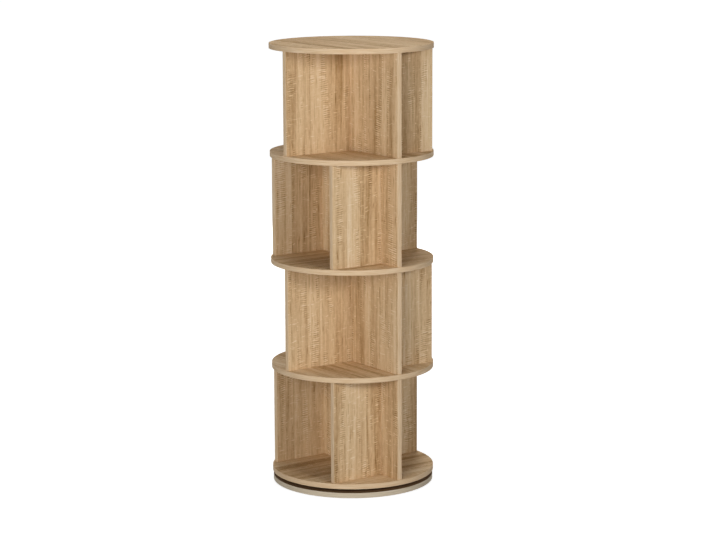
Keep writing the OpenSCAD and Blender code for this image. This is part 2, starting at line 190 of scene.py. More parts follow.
def makeOakPrint(values):
    tree = bpy.data.node_groups.new("sawn oak print", "ShaderNodeTree")
    tree.interface.new_socket("Place", in_out="INPUT", socket_type="NodeSocketVector")
    for name, kind in (("Colour", "Color"), ("Height", "Float"), ("Roughness", "Float")):
        tree.interface.new_socket(name, in_out="OUTPUT", socket_type="NodeSocket" + kind)
    place = addNode(tree, "NodeGroupInput")
    mm = addNode(tree, "ShaderNodeVectorMath", {"operation": "SCALE"}, {0: place, "Scale": 1000.0})
    across, along, depth = addNode(tree, "ShaderNodeSeparateXYZ", {}, {0: mm}).outputs

    # staves: strips of slightly different tone and figure, with straight joints and uneven widths
    evenStaves = addNode(tree, "ShaderNodeMath", {"operation": "DIVIDE"},
                         {0: across, 1: values["staveWidth"]})
    often, much = values["staveUneven"]
    spread = addNode(tree, "ShaderNodeTexNoise", {"noise_dimensions": "1D"},
                     {"W": evenStaves, "Scale": often, "Detail": 0.0})
    staves = addNode(tree, "ShaderNodeMath", multiplyAdd, {0: spread, 1: much, 2: evenStaves})
    stave = addNode(tree, "ShaderNodeMath", {"operation": "FLOOR"}, {0: staves})
    face = addNode(tree, "ShaderNodeMath", {"operation": "SIGN"}, {0: depth})
    staveAndFace = addNode(tree, "ShaderNodeMath", multiplyAdd, {0: face, 1: values["faceShift"], 2: stave})
    chance = addNode(tree, "ShaderNodeTexWhiteNoise", {"noise_dimensions": "1D"}, {"W": staveAndFace})

    # the grain's own place: drifted sideways, with every stave and face from another part of the tree
    width, length = values["driftCells"]
    drift = addNode(tree, "ShaderNodeTexNoise", {}, {
        "Vector": addNode(tree, "ShaderNodeVectorMath", multiply, {0: mm, 1: (1 / width, 1 / length, 0)}),
        "Scale": 1.0, "Detail": 1.0})
    drifted = addNode(tree, "ShaderNodeMath", multiplyAdd, {0: drift, 1: 2.0 * values["drift"], 2: across})
    slide, sink = values["staveApart"]
    slid = addNode(tree, "ShaderNodeMath", multiplyAdd, {0: chance, 1: slide, 2: along})
    sunk = addNode(tree, "ShaderNodeMath", multiply, {0: chance, 1: sink})
    grain = addNode(tree, "ShaderNodeCombineXYZ", {}, {"X": drifted, "Y": slid, "Z": sunk})

    # soft streaks and mottling of several sizes
    half = values["staveShare"] / 2
    tone = addNode(tree, "ShaderNodeMapRange", {},
                   {"Value": chance, "To Min": 0.5 - half, "To Max": 0.5 + half})
    for width, length, detail, share in values["grain"].values():
        cells = addNode(tree, "ShaderNodeVectorMath", multiply,
                        {0: grain, 1: (1 / width, 1 / length, 1 / width)})
        fibres = addNode(tree, "ShaderNodeTexNoise", {}, {
            "Vector": cells, "Scale": 1.0, "Detail": detail, "Roughness": values["fibreRoughness"]})
        centred = addNode(tree, "ShaderNodeMath", {"operation": "SUBTRACT"}, {0: fibres, 1: 0.5})
        tone = addNode(tree, "ShaderNodeMath", multiplyAdd, {0: centred, 1: share, 2: tone})

    # where the marks lie: long narrow patches with saw marks, dark slits, and open pores
    masks = {}
    for name, (width, length, low, high) in values["masks"].items():
        cells = addNode(tree, "ShaderNodeVectorMath", multiply,
                        {0: grain, 1: (1 / width, 1 / length, 1 / width)})
        patch = addNode(tree, "ShaderNodeTexNoise", {}, {"Vector": cells, "Scale": 1.0, "Detail": 1.0})
        masks[name] = addNode(tree, "ShaderNodeMapRange", smoothStep,
                              {"Value": patch, "From Min": low, "From Max": high})

    # saw marks: rungs across the grain, some even and some broken up
    width, length, sink = values["wobbleCells"]
    wobble = addNode(tree, "ShaderNodeTexNoise", {}, {
        "Vector": addNode(tree, "ShaderNodeVectorMath", multiply,
                          {0: grain, 1: (1 / width, 1 / length, sink)}),
        "Scale": 1.0, "Detail": 1.0})
    level = addNode(tree, "ShaderNodeMath", multiplyAdd, {0: drifted, 1: -values["sawSlant"], 2: slid})
    level = addNode(tree, "ShaderNodeMath", multiplyAdd, {0: wobble, 1: values["sawWobble"], 2: level})
    sawPlace = addNode(tree, "ShaderNodeCombineXYZ", {}, {"X": drifted, "Y": level, "Z": sunk})
    turns = addNode(tree, "ShaderNodeMath", multiply, {0: level, 1: 2 * math.pi / values["sawPitch"]})
    wave = addNode(tree, "ShaderNodeMath", {"operation": "SINE"}, {0: turns})
    low, high = values["sawRange"]
    dark, pale = values["sawTones"]
    rungs = addNode(tree, "ShaderNodeMapRange", smoothStep,
                    {"Value": wave, "From Min": low, "From Max": high, "To Min": dark, "To Max": pale})
    marks = {}
    for name, (width, length, sink, detail, low, high) in values["marks"].items():
        cells = addNode(tree, "ShaderNodeVectorMath", multiply,
                        {0: sawPlace, 1: (1 / width, 1 / length, sink)})
        noise = addNode(tree, "ShaderNodeTexNoise", {}, {"Vector": cells, "Scale": 1.0, "Detail": detail})
        marks[name] = addNode(tree, "ShaderNodeMapRange", smoothStep,
                              {"Value": noise, "From Min": low, "From Max": high})
    kerfs = addNode(tree, "ShaderNodeMapRange", {},
                    {"Value": marks["kerfs"], "To Min": dark, "To Max": pale})
    share = values["kerfShare"]
    saw = addNode(tree, "ShaderNodeMath", multiply, {0: rungs, 1: values["sawShare"]})
    saw = addNode(tree, "ShaderNodeMath", multiplyAdd, {0: kerfs, 1: share, 2: saw})
    saw = addNode(tree, "ShaderNodeMath", multiply, {0: saw, 1: masks["ladders"]})
    saw = addNode(tree, "ShaderNodeMath", multiplyAdd, {0: kerfs, 1: values["looseKerfs"] * share, 2: saw})
    tone = addNode(tree, "ShaderNodeMath", {"operation": "ADD"}, {0: saw, 1: tone})

    # pale flecks that lie across the grain, dark slits and pores
    for mark, share in ((marks["flecks"], values["fleckShare"]), (masks["slits"], -values["slitShare"]),
                        (masks["pores"], -values["poreShare"])):
        tone = addNode(tree, "ShaderNodeMath", multiplyAdd, {0: mark, 1: share, 2: tone})
    colour = addNode(tree, "ShaderNodeValToRGB", {}, {"Fac": tone})
    fillRamp(colour, values["tones"])

    # the pressed pores lie deepest, and the fibres and saw marks stand a little proud
    relief = addNode(tree, "ShaderNodeMath", multiplyAdd, {0: saw, 1: values["sawRelief"], 2: fibres})
    dark, pale = values["roughnessTones"]
    rough, smooth = values["roughness"]
    height = addNode(tree, "ShaderNodeMath", {"operation": "SUBTRACT"}, {0: relief, 1: masks["pores"]})
    addNode(tree, "NodeGroupOutput", {}, {
        "Colour": colour, "Height": height,
        "Roughness": addNode(tree, "ShaderNodeMapRange", {}, {
            "Value": tone, "From Min": dark, "From Max": pale, "To Min": rough, "To Max": smooth})})
    return tree


oakPrintTree = makeOakPrint(oakPrint)

# Melamine-faced board: the oak print under a thin matt resin film, pressed on a plate with a pore texture
# It gives a printed grain with a soft low sheen that breaks up along the pores.
melamine = {
    "ior": 1.5,
    "specular": 0.1,
    "poreDepth": 0.00012,  # metres
    "bumpStrength": 0.5,
    "printStep": (0.571, 1.87),  # metres across and along, from one board's cut of the print to the next
    # the balancing paper's tones, darkened past the paper's own as painted shade for the gap between the
    # base and the bottom board
    "paperAndShadeTones": [(0.3, "#6e5238"), (0.7, "#8a6a4a")],
    "paperFibre": (0.9, 4.0),  # mm across and along
    "coreHalf": 0.00742,  # metres from the mid-plane out to the melamine on each face
    "chipSize": 2.6,  # mm
    "coreTones": [(0.1, "#8f6d45"), (0.4, "#b5925f"), (0.7, "#cdae7e"), (1.0, "#dcc296")],
}
grainTurns = {  # Euler angles that turn the object's axes so that X runs across the grain and Y along it
    "upright in the YZ plane": (-math.pi / 2, -math.pi / 2, 0),
    "upright in the XZ plane": (-math.pi / 2, 0, 0),
    "round board along Y": (0, 0, 0),
    "round board along X": (0, 0, math.pi / 2),
}


def makeBoardMaterial(name, turn, offset, paperAndShadeBelow, values):
    material, tree = startMaterial(name)
    place = addNode(tree, "ShaderNodeTexCoord").outputs["Object"]
    grainPlace = addNode(tree, "ShaderNodeMapping", {},
                         {"Vector": place, "Rotation": grainTurns[turn], "Location": offset})
    printed = addNode(tree, "ShaderNodeGroup", {"node_tree": oakPrintTree}, {"Place": grainPlace})
    bump = addNode(tree, "ShaderNodeBump", {},
                   {"Height": printed.outputs["Height"], "Strength": values["bumpStrength"],
                    "Distance": values["poreDepth"]})

    # faces that nobody sees in use have brown balancing paper in place of the print; its tone is darker
    # than such paper's own, as painted shade for the dark gap between the base and the bottom board
    depth = addNode(tree, "ShaderNodeSeparateXYZ", {}, {0: grainPlace}).outputs["Z"]
    across, along = values["paperFibre"]
    fibres = addNode(tree, "ShaderNodeTexNoise", {}, {
        "Vector": addNode(tree, "ShaderNodeVectorMath", multiply,
                          {0: grainPlace, 1: (1000 / across, 1000 / along, 1000 / across)}),
        "Scale": 1.0, "Detail": 2.0})
    paperAndShade = addNode(tree, "ShaderNodeValToRGB", {}, {"Fac": fibres})
    fillRamp(paperAndShade, values["paperAndShadeTones"])
    paperAndShadeMask = addNode(tree, "ShaderNodeMath", {"operation": "LESS_THAN"}, {0: depth, 1: paperAndShadeBelow})
    faced = addNode(tree, "ShaderNodeMix", {"data_type": "RGBA"},
                    {0: paperAndShadeMask, 6: printed.outputs["Colour"], 7: paperAndShade})

    # between the two faces the bare chipboard shows, in every cut edge and drilled hole
    fromMiddle = addNode(tree, "ShaderNodeMath", {"operation": "ABSOLUTE"}, {0: depth})
    core = addNode(tree, "ShaderNodeMath", {"operation": "LESS_THAN"},
                   {0: fromMiddle, 1: values["coreHalf"]})
    chips = addNode(tree, "ShaderNodeTexVoronoi", {},
                    {"Vector": grainPlace, "Scale": 1000 / values["chipSize"]})
    chipTone = addNode(tree, "ShaderNodeSeparateXYZ", {}, {0: chips.outputs["Color"]})
    chipColour = addNode(tree, "ShaderNodeValToRGB", {}, {"Fac": chipTone})
    fillRamp(chipColour, values["coreTones"])
    colour = addNode(tree, "ShaderNodeMix", {"data_type": "RGBA"},
                     {0: core, 6: faced.outputs[2], 7: chipColour})
    roughness = addNode(tree, "ShaderNodeMath", {"operation": "MAXIMUM"},
                        {0: printed.outputs["Roughness"], 1: core})
    surface = addNode(tree, "ShaderNodeBsdfPrincipled", {}, {
        "Base Color": colour.outputs[2], "Roughness": roughness,
        "IOR": values["ior"], "Specular IOR Level": values["specular"], "Normal": bump})
    addNode(tree, "ShaderNodeOutputMaterial", {}, {"Surface": surface})
    return material


def giveMaterial(node, material):
    mesh = nodes[node].data
    for i in range(len(mesh.materials)):
        mesh.materials[i] = material


boardPlan = {  # which way each board's grain runs
    "base_board": "round board along Y",
    "bottom_board": "round board along X",
    "lower_shelf": "round board along Y",
    "middle_shelf": "round board along X",
    "upper_shelf": "round board along Y",
    "top_board": "round board along Y",
}
for tier in range(1, 5):
    boardPlan[f"centre_upright_{tier}"] = "upright in the YZ plane"
    for kind in ("radial_upright", "left_side_upright", "right_side_upright"):
        boardPlan[f"{kind}_{tier}"] = "upright in the XZ plane"
for number, (node, turn) in enumerate(boardPlan.items()):
    low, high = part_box(node)
    middle = (low + high) / 2
    # the board's own mid-plane lies at depth 0, and its print is cut from its own place
    depth = {"upright in the YZ plane": middle.x, "upright in the XZ plane": -middle.y}.get(turn, middle.z)
    stepAcross, stepAlong = melamine["printStep"]
    offset = (number * stepAcross, number * stepAlong, -depth)
    # the faces that take the darkened paper are those in the gap under the bottom board, where it stands
    # for painted shade
    paperAndShadeBelow = {"base_board": 1, "bottom_board": 0}.get(node, -1)  # both faces, the underside, or neither
    title = "oak melamine " + node.replace("_", " ")
    giveMaterial(node, makeBoardMaterial(title, turn, offset, paperAndShadeBelow, melamine))
print("boards faced:", len(boardPlan))


# Edge band: ABS strip with a printed oak grain along its length and a matt lacquer
# It gives a smoother, paler line than the boards' faces.
edgeBand = {
    "radius": 240,  # mm, turns an angle round the board into a length
    "streakWidth": 1.6,  # mm
    "streakLength": 70,
    "seamAngle": 57,  # degrees round from +X, behind the photograph's view
    "seamWidth": 0.25,  # mm
    "seamColour": "#6d4f32",
    "roughness": 0.64,
    "ior": 1.54,
    "specular": 0.08,
    "bump": (0.35, 0.00008),  # strength, and depth in metres
    "tones": {
        "case": [(0.3, "#c4a480"), (0.45, "#d0b38f"), (0.55, "#d8be9c"), (0.72, "#e3ccae")],
        "base": [(0.3, "#b7a88f"), (0.45, "#c5b69e"), (0.55, "#cdbfa9"), (0.72, "#d8ccb9")],
    },
}


def makeBandMaterial(name, roundBoard, tones, values):
    material, tree = startMaterial(name)
    place = addNode(tree, "ShaderNodeTexCoord").outputs["Object"]
    mm = addNode(tree, "ShaderNodeVectorMath", {"operation": "SCALE"}, {0: place, "Scale": 1000.0})
    if roundBoard:
        seam = math.radians(180 - values["seamAngle"])
        turned = addNode(tree, "ShaderNodeMapping", {}, {"Vector": mm, "Rotation": (0, 0, seam)})
        x, y, across = addNode(tree, "ShaderNodeSeparateXYZ", {}, {0: turned}).outputs
        angle = addNode(tree, "ShaderNodeMath", {"operation": "ARCTAN2"}, {0: y, 1: x})
        length = addNode(tree, "ShaderNodeMath", multiply, {0: angle, 1: values["radius"]})
        side = 0.0
    else:
        across, side, length = addNode(tree, "ShaderNodeSeparateXYZ", {}, {0: mm}).outputs
    strip = addNode(tree, "ShaderNodeCombineXYZ", {}, {"X": across, "Y": length, "Z": side})
    thin = 1 / values["streakWidth"]
    cells = addNode(tree, "ShaderNodeVectorMath", multiply,
                    {0: strip, 1: (thin, 1 / values["streakLength"], thin)})
    streaks = addNode(tree, "ShaderNodeTexNoise", {},
                      {"Vector": cells, "Scale": 1.0, "Detail": 3.0, "Roughness": 0.6})
    colour = addNode(tree, "ShaderNodeValToRGB", {}, {"Fac": streaks})
    fillRamp(colour, values["tones"][tones])
    strength, depth = values["bump"]
    bump = addNode(tree, "ShaderNodeBump", {}, {"Height": streaks, "Strength": strength, "Distance": depth})
    surface = addNode(tree, "ShaderNodeBsdfPrincipled", {}, {
        "Base Color": colour, "Roughness": values["roughness"], "IOR": values["ior"],
        "Specular IOR Level": values["specular"], "Normal": bump})
    if roundBoard:
        # the butt joint where the strip's two ends meet
        fromSeam = addNode(tree, "ShaderNodeMath", {"operation": "ABSOLUTE"}, {0: length})
        joint = addNode(tree, "ShaderNodeMath", {"operation": "GREATER_THAN"},
                        {0: fromSeam, 1: math.pi * values["radius"] - values["seamWidth"]})
        dark = addNode(tree, "ShaderNodeMix", {"data_type": "RGBA"},
                       {0: joint, 6: colour, 7: linear(values["seamColour"])})
        tree.links.new(dark.outputs[2], surface.inputs["Base Color"])
    addNode(tree, "ShaderNodeOutputMaterial", {}, {"Surface": surface})
    return material


bandMaterials = {
    "case": makeBandMaterial("ABS edge band round the boards", True, "case", edgeBand),
    "base": makeBandMaterial("ABS edge band round the base", True, "base", edgeBand),
    "upright": makeBandMaterial("ABS edge band on the uprights", False, "case", edgeBand),
}
print("edge band materials made:", len(bandMaterials))


# Small metal, plastic, wood and felt parts
metalGrain = {  # shared by all metals
    "lineLength": 60,  # mm
    "cloudRange": (0.35, 0.65),  # the noise values between which the roughness changes
    "lineRange": (0.3, 0.7),
    "shade": (0.9, 1.04),  # how much darker and paler the lines are
    "bump": (0.3, 0.00003),  # strength, and depth in metres
}
metals = {  # roughness from and to, and mm across a cloud and a line
    "zinc-plated pressed steel": {  # thin blue-white zinc, with a soft cloudy shine and faint rolling lines
        "colour": "#b9bcbf", "roughness": (0.28, 0.46), "cloud": 14, "lines": 0.5,
        "nodes": ["turntable_lower_plate", "turntable_upper_plate"]},
    "bright zinc-plated steel": {  # small turned and headed parts: an even bright shine
        "colour": "#c9ccd0", "roughness": (0.2, 0.34), "cloud": 4, "lines": 0.25,
        "nodes": ["turntable_hub", "lower_plate_screws", "upper_plate_screws"]},
    "die-cast zinc": {  # matt grey, faintly pitted as it left the mould
        "colour": "#a3a29d", "roughness": (0.42, 0.6), "cloud": 2, "lines": 2.0,
        "nodes": ["cam_locks"]},
    "polished bearing steel": {  # ground balls: near-mirror with a thin film of grease
        "colour": "#d0d0d2", "roughness": (0.06, 0.16), "cloud": 3, "lines": 1.0,
        "nodes": ["bearing_balls"]},
}
for name, values in metals.items():
    material, tree = startMaterial(name)
    place = addNode(tree, "ShaderNodeTexCoord").outputs["Object"]
    cloud = addNode(tree, "ShaderNodeTexNoise", {}, {
        "Vector": place, "Scale": 1000 / values["cloud"], "Detail": 3.0})
    thin = 1000 / values["lines"]
    stretched = addNode(tree, "ShaderNodeVectorMath", multiply,
                        {0: place, 1: (thin, 1000 / metalGrain["lineLength"], thin)})
    lines = addNode(tree, "ShaderNodeTexNoise", {}, {"Vector": stretched, "Scale": 1.0, "Detail": 2.0})
    low, high = metalGrain["cloudRange"]
    smooth, rough = values["roughness"]
    roughness = addNode(tree, "ShaderNodeMapRange", {}, {
        "Value": cloud, "From Min": low, "From Max": high, "To Min": smooth, "To Max": rough})
    low, high = metalGrain["lineRange"]
    dark, pale = metalGrain["shade"]
    shade = addNode(tree, "ShaderNodeMapRange", {}, {
        "Value": lines, "From Min": low, "From Max": high, "To Min": dark, "To Max": pale})
    colour = addNode(tree, "ShaderNodeVectorMath", {"operation": "SCALE"},
                     {0: linear(values["colour"])[:3], "Scale": shade})
    strength, depth = metalGrain["bump"]
    bump = addNode(tree, "ShaderNodeBump", {}, {"Height": lines, "Strength": strength, "Distance": depth})
    surface = addNode(tree, "ShaderNodeBsdfPrincipled", {},
                      {"Base Color": colour, "Metallic": 1.0, "Roughness": roughness, "Normal": bump})
    addNode(tree, "ShaderNodeOutputMaterial", {}, {"Surface": surface})
    for node in values["nodes"]:
        giveMaterial(node, material)
print("metals made:", len(metals))

smallParts = {name: bpy.data.materials[name] for name in metals}
matts = {  # cell is the size of the grain in mm, and depth is that of the bump in metres
    "natural nylon": {  # injection-moulded cage: milky off-white with a soft gloss
        "tones": ("#dcd6c4", "#ece7d8"), "cell": (8, 8, 8), "roughness": 0.42,
        "depth": 0.00002, "ior": 1.53, "sheen": 0.0, "nodes": ["ball_cage"]},
    "oak-coloured ABS": {  # moulded cover caps with a fine spark-eroded grain
        "tones": ("#c9a67d", "#d6b68e"), "cell": (0.5, 0.5, 0.5), "roughness": 0.55,
        "depth": 0.00003, "ior": 1.54, "sheen": 0.0},
    "beech dowel rod": {  # bare turned beech: pinkish tan with short dark flecks along the rod
        "tones": ("#b98d5e", "#dcbd90"), "cell": (0.7, 0.7, 7), "roughness": 0.7,
        "depth": 0.00006, "ior": 1.45, "sheen": 0.0},
    "pressed wool felt": {  # matted dark fibres with a soft pale haze at a low angle
        "tones": ("#3f342b", "#6b5a4b"), "cell": (0.35, 0.35, 0.9), "roughness": 0.95,
        "depth": 0.0002, "ior": 1.45, "sheen": 0.4},
}
mattGrain = {"tonePlaces": (0.35, 0.65), "bumpStrength": 0.5}
for name, values in matts.items():
    material, tree = startMaterial(name)
    place = addNode(tree, "ShaderNodeTexCoord").outputs["Object"]
    scale = [1000 / size for size in values["cell"]]
    cells = addNode(tree, "ShaderNodeVectorMath", multiply, {0: place, 1: scale})
    grainNoise = addNode(tree, "ShaderNodeTexNoise", {}, {"Vector": cells, "Scale": 1.0, "Detail": 3.0})
    colour = addNode(tree, "ShaderNodeValToRGB", {}, {"Fac": grainNoise})
    fillRamp(colour, list(zip(mattGrain["tonePlaces"], values["tones"])))
    bump = addNode(tree, "ShaderNodeBump", {}, {
        "Height": grainNoise, "Strength": mattGrain["bumpStrength"], "Distance": values["depth"]})
    surface = addNode(tree, "ShaderNodeBsdfPrincipled", {}, {
        "Base Color": colour, "Roughness": values["roughness"], "IOR": values["ior"],
        "Sheen Weight": values["sheen"], "Normal": bump})
    addNode(tree, "ShaderNodeOutputMaterial", {}, {"Surface": surface})
    smallParts[name] = material
    for node in values.get("nodes", []):  # the others are for pieces that are grown below
        giveMaterial(node, material)
print("plastics, dowel wood and felt made:", len(matts))


# Turned and drawn pieces: a section is swept, rounded at its corners and set at each of its places
pieceShape = {
    "sharpAngle": 40,  # degrees between two faces, past which their edge is not smoothed
    "weld": 0.000005,  # metres between points that become one
    "napScale": 900.0,  # cells of the felt's nap in a metre
}


def startPieceTree(name, sizes):
    # a node tree with a named input for each size, and the section's line with its corners rounded
    tree = bpy.data.node_groups.new(name, "GeometryNodeTree")
    tree.interface.new_socket("Places", in_out="INPUT", socket_type="NodeSocketGeometry")
    for label, kind in sizes.items():
        tree.interface.new_socket(label, in_out="INPUT", socket_type="NodeSocket" + kind)
    tree.interface.new_socket("Geometry", in_out="OUTPUT", socket_type="NodeSocketGeometry")
    given = addNode(tree, "NodeGroupInput").outputs
    section = addNode(tree, "GeometryNodeObjectInfo", {}, {"Object": given["Section"]}).outputs["Geometry"]
    line = addNode(tree, "GeometryNodeMeshToCurve", {}, {"Mesh": section})
    rounding = addNode(tree, "GeometryNodeInputNamedAttribute", {"data_type": "FLOAT"},
                       {"Name": "rounding"})
    rounded = addNode(tree, "GeometryNodeFilletCurve", {"mode": "POLY"}, {
        "Curve": line, "Count": given["Corner Steps"], "Radius": rounding, "Limit Radius": True})
    return tree, given, rounded


def endPieceTree(tree, given, shape):
    # smooth shading up to a sharp edge, one copy at each place, real geometry and the material
    smooth = addNode(tree, "GeometryNodeSetShadeSmooth", {"domain": "FACE"},
                     {"Geometry": shape, "Shade Smooth": True})
    angle = addNode(tree, "GeometryNodeInputMeshEdgeAngle").outputs["Unsigned Angle"]
    sharp = addNode(tree, "FunctionNodeCompare", {"operation": "GREATER_THAN"},
                    {"A": angle, "B": math.radians(pieceShape["sharpAngle"])})
    shaded = addNode(tree, "GeometryNodeSetShadeSmooth", {"domain": "EDGE"},
                     {"Geometry": smooth, "Selection": sharp, "Shade Smooth": False})
    turn = addNode(tree, "GeometryNodeInputNamedAttribute", {"data_type": "FLOAT_VECTOR"}, {"Name": "turn"})
    turned = addNode(tree, "FunctionNodeEulerToRotation", {}, {0: turn})
    copies = addNode(tree, "GeometryNodeInstanceOnPoints", {},
                     {"Points": given["Places"], "Instance": shaded, "Rotation": turned})
    real = addNode(tree, "GeometryNodeRealizeInstances", {}, {"Geometry": copies})
    faced = addNode(tree, "GeometryNodeSetMaterial", {}, {"Geometry": real, "Material": given["Material"]})
    addNode(tree, "NodeGroupOutput", {}, {"Geometry": faced})


def makeTurnedTree():
    # a section in radius and height swept about Z, with ribs, a thread or a napped side where asked
    tree, given, line = startPieceTree("turned piece", {
        "Section": "Object", "Corner Steps": "Int", "Segments": "Int", "Spindle": "Float",
        "Ribs Round": "Float", "Ribs per Metre": "Float", "Rib Depth": "Float",
        "Rib Low": "Float", "Rib High": "Float", "Nap": "Float", "Material": "Material"})
    # the section is carried round on a circle, the spindle, so it first moves in by the spindle's radius
    inward = addNode(tree, "ShaderNodeMath", multiply, {0: given["Spindle"], 1: -1.0})
    shift = addNode(tree, "ShaderNodeCombineXYZ", {}, {"X": inward})
    moved = addNode(tree, "GeometryNodeTransform", {},
                    {"Geometry": line, "Translation": shift, "Scale": (1, -1, 1)})
    circle = addNode(tree, "GeometryNodeCurvePrimitiveCircle", {},
                     {"Resolution": given["Segments"], "Radius": given["Spindle"]})
    swept = addNode(tree, "GeometryNodeCurveToMesh", {}, {"Curve": circle, "Profile Curve": moved})
    closed = addNode(tree, "GeometryNodeMergeByDistance", {},
                     {"Geometry": swept, "Distance": pieceShape["weld"]})

    # ribs run along the piece, or climb round it as a thread, between two heights
    place = addNode(tree, "GeometryNodeInputPosition")
    x, y, z = addNode(tree, "ShaderNodeSeparateXYZ", {}, {0: place}).outputs
    angle = addNode(tree, "ShaderNodeMath", {"operation": "ARCTAN2"}, {0: y, 1: x})
    turns = addNode(tree, "ShaderNodeMath", {"operation": "DIVIDE"}, {0: angle, 1: 2 * math.pi})
    climb = addNode(tree, "ShaderNodeMath", multiply, {0: z, 1: given["Ribs per Metre"]})
    phase = addNode(tree, "ShaderNodeMath", multiplyAdd, {0: turns, 1: given["Ribs Round"], 2: climb})
    ribs = addNode(tree, "ShaderNodeMath", {"operation": "PINGPONG"}, {0: phase, 1: 0.5})
    above = addNode(tree, "ShaderNodeMath", {"operation": "GREATER_THAN"}, {0: z, 1: given["Rib Low"]})
    below = addNode(tree, "ShaderNodeMath", {"operation": "LESS_THAN"}, {0: z, 1: given["Rib High"]})
    between = addNode(tree, "ShaderNodeMath", multiply, {0: above, 1: below})
    ribs = addNode(tree, "ShaderNodeMath", multiply, {0: ribs, 1: between})
    cut = addNode(tree, "ShaderNodeMath", multiply, {0: ribs, 1: given["Rib Depth"]})
    fuzz = addNode(tree, "ShaderNodeTexNoise", {},
                   {"Vector": place, "Scale": pieceShape["napScale"], "Detail": 1.0})
    cut = addNode(tree, "ShaderNodeMath", multiplyAdd, {0: fuzz, 1: given["Nap"], 2: cut})
    level = addNode(tree, "ShaderNodeCombineXYZ", {}, {"X": x, "Y": y})
    outward = addNode(tree, "ShaderNodeVectorMath", {"operation": "NORMALIZE"}, {0: level})
    # the ribs' wave goes from 0 to a half, so twice its value is the full depth
    back = addNode(tree, "ShaderNodeMath", multiply, {0: cut, 1: -2.0})
    offset = addNode(tree, "ShaderNodeVectorMath", {"operation": "SCALE"}, {0: outward, "Scale": back})
    shape = addNode(tree, "GeometryNodeSetPosition", {}, {"Geometry": closed, "Offset": offset})
    endPieceTree(tree, given, shape)
    return tree


def makeDrawnTree():
    # a section in X and Y drawn up along Z, with its ends closed
    tree, given, line = startPieceTree("drawn strip", {
        "Section": "Object", "Corner Steps": "Int", "Length": "Float", "Material": "Material"})
    top = addNode(tree, "ShaderNodeCombineXYZ", {}, {"Z": given["Length"]})
    path = addNode(tree, "GeometryNodeCurvePrimitiveLine", {}, {"Start": (0, 0, 0), "End": top})
    swept = addNode(tree, "GeometryNodeCurveToMesh", {},
                    {"Curve": path, "Profile Curve": line, "Fill Caps": True})
    shape = addNode(tree, "GeometryNodeMergeByDistance", {},
                    {"Geometry": swept, "Distance": pieceShape["weld"]})
    endPieceTree(tree, given, shape)
    return tree


def growPiece(name, tree, section, places, sizes, body, stoodFor):
    # a place is x, y, z in mm and the turns about X, Y and Z in degrees
    # a point of the section is its distance across, its height and its corner's rounding, in mm
    outline = bpy.data.meshes.new(name + " section")
    closed = section[0][0] > 0  # a section that starts on the axis stays open there
    count = len(section)
    lines = [(i, (i + 1) % count) for i in range(count if closed else count - 1)]
    outline.from_pydata([(x / 1000, y / 1000, 0) for x, y, _ in section], lines, [])
    rounding = outline.attributes.new("rounding", "FLOAT", "POINT")
    rounding.data.foreach_set("value", [corner / 1000 for _, _, corner in section])
    outlineObject = bpy.data.objects.new(outline.name, outline)
    mesh = bpy.data.meshes.new(name)
    mesh.from_pydata([[c / 1000 for c in place[:3]] for place in places], [], [])
    turn = mesh.attributes.new("turn", "FLOAT_VECTOR", "POINT")
    turn.data.foreach_set("vector", [math.radians(c) for place in places for c in place[3:]])
    piece = addObject(name, mesh)
    modifier = piece.modifiers.new("shape", "NODES")
    modifier.node_group = tree
    sizes = dict(sizes, Section=outlineObject)
    for socket in tree.interface.items_tree:
        if socket.in_out == "INPUT" and socket.name in sizes:
            modifier[socket.identifier] = sizes[socket.name]
    evaluated = piece.evaluated_get(bpy.context.evaluated_depsgraph_get())
    grown = bpy.data.meshes.new_from_object(evaluated)
    piece.modifiers.remove(modifier)
    piece.data = grown
    bpy.data.objects.remove(outlineObject)
    # the sweep turns some shapes inside out
    shell = bmesh.new()
    shell.from_mesh(grown)
    bmesh.ops.recalc_face_normals(shell, faces=shell.faces)
    shell.to_mesh(grown)
    shell.free()
    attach(piece, body)
    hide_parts(stoodFor)
    return piece


def turnedSizes(values, material):
    # the sizes that all turned pieces have
    return {"Corner Steps": values["cornerSteps"], "Segments": values["segments"],
            "Spindle": values["spindle"] / 1000, "Material": material}


turnedTree = makeTurnedTree()
drawnTree = makeDrawnTree()

# Places of the boards and tiers in mm, measured from the frame
roundBoards = ["bottom_board", "lower_shelf", "middle_shelf", "upper_shelf", "top_board"]
levelHeights = [1000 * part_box(board)[0].z for board in roundBoards]
tierHeights = [1000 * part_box(board)[1].z for board in roundBoards[:4]]
clearHeight = levelHeights[1] - tierHeights[0]
tierSides = [-1, 1, -1, 1]  # +1 where the side uprights stand on +X
sideLow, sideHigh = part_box("left_side_upright_2")
sideOffset = 1000 * (sideLow.y + sideHigh.y) / 2
uprightHalf = 1000 * (sideHigh.y - sideLow.y) / 2
uprightEnds = {
    "centre": 1000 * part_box("centre_upright_edge_bands")[1].y,
    "radial": 1000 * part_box("radial_upright_edge_bands")[1].x,
    "side": 1000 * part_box("side_upright_edge_bands")[1].x,
}

# Edge bands round the boards: a thin strip with its outer corners scraped round, sizes in mm
roundBands = {
    "case": {"radius": 239.9, "thickness": 0.7, "height": 15, "corner": 0.6},  # 0.1 inside the frame's
    "base": {"radius": 237.9, "thickness": 0.7, "height": 15, "corner": 0.6},
    "cornerSteps": 4,
    "segments": 256,
    "spindle": 100,
}
bandPlaces = {"base_edge_band": 1000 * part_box("base_board")[0].z}
for board, height in zip(roundBoards, levelHeights):
    bandPlaces[board + "_edge_band"] = height
for node, height in bandPlaces.items():
    part = "base" if node.startswith("base") else "case"
    values = roundBands[part]
    outer = values["radius"]
    inner = outer - values["thickness"]
    corner = values["corner"]
    top = values["height"]
    section = [(outer, top, corner), (outer, 0, corner), (inner, 0, 0), (inner, top, 0)]
    growPiece("rounded_" + node, turnedTree, section, [(0, 0, height, 0, 0, 0)],
              turnedSizes(roundBands, bandMaterials[part]), part, node)
print("round edge bands grown:", len(bandPlaces))

